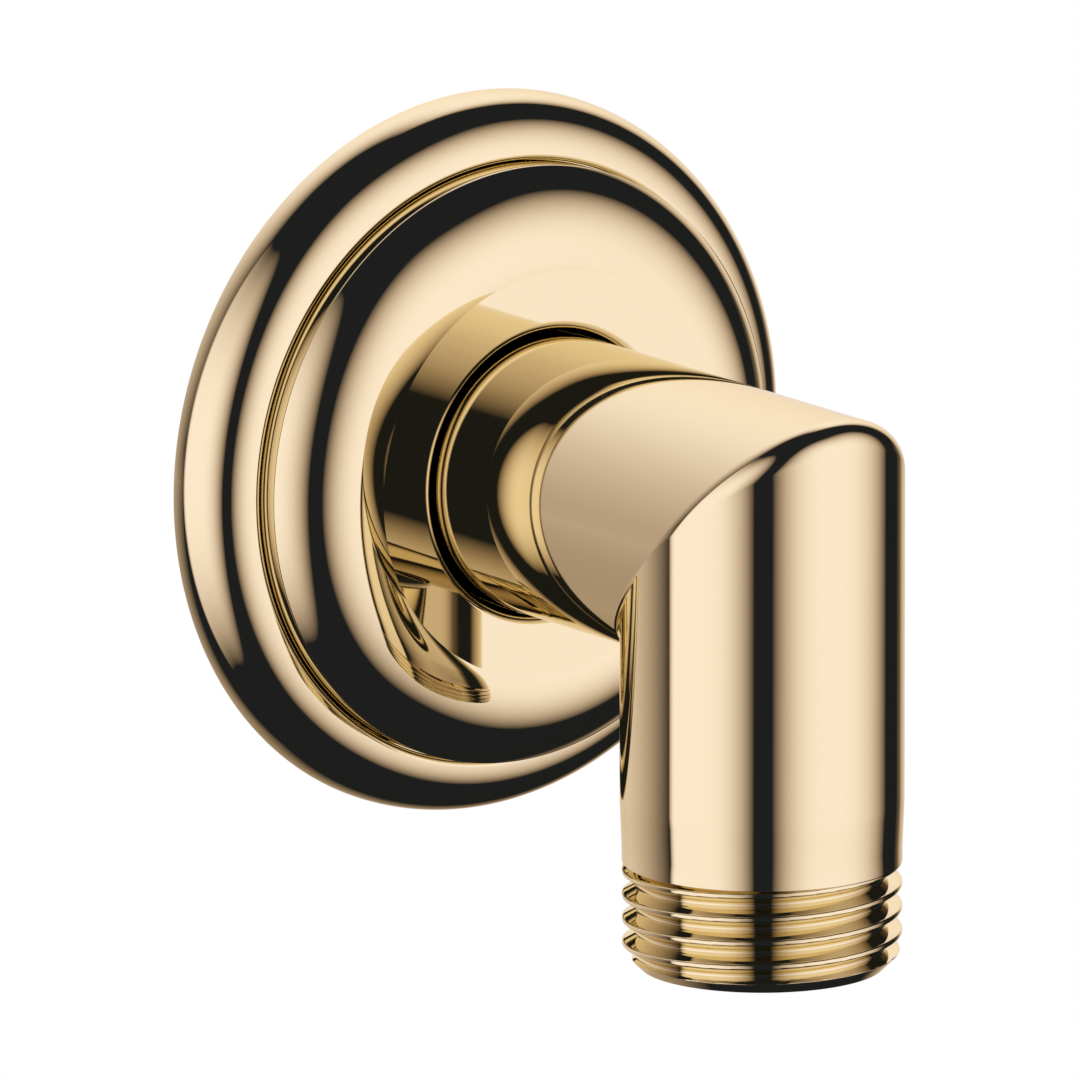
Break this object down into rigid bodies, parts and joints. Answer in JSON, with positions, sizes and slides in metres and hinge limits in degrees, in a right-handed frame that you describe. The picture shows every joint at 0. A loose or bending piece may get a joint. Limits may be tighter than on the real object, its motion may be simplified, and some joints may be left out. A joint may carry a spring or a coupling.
{
  "type": "wall outlet elbow",
  "caption": "Polished brass wall elbow that leads shower water from the wall down to a hose: stepped round rosette, rounded mitre, male hose thread and spring-closed backflow preventer.",
  "frame": {"origin": "centre of the rosette's back, on the tube's axis, in the plane of the wall", "axes": "+Y into the wall along the inlet thread, -Y out into the room, -Z down along the hose outlet"},
  "size_m": [0.055, 0.0623, 0.0601],
  "materials": {
    "polished_brass": "mirror polished",
    "seal_rubber": "matte",
    "valve_plastic": "moulded",
    "spring_steel": "drawn wire"
  },
  "bodies": {
    "elbow": {"elbow_body": "polished_brass", "rosette": "polished_brass", "rosette_o_ring": "seal_rubber", "valve_housing": "valve_plastic", "valve_o_ring": "seal_rubber", "valve_spring": "spring_steel"},
    "poppet": {"valve_poppet": "valve_plastic", "poppet_seal": "seal_rubber"}
  },
  "joints": [
    {"name": "poppet_lift", "type": "slide", "parent": "elbow", "child": "poppet", "axis": [0, 0, -1], "range_m": [0, 0.003], "stiffness_N_per_m": 150, "springref_m": -0.002, "deforming": ["valve_spring"]}
  ]
}
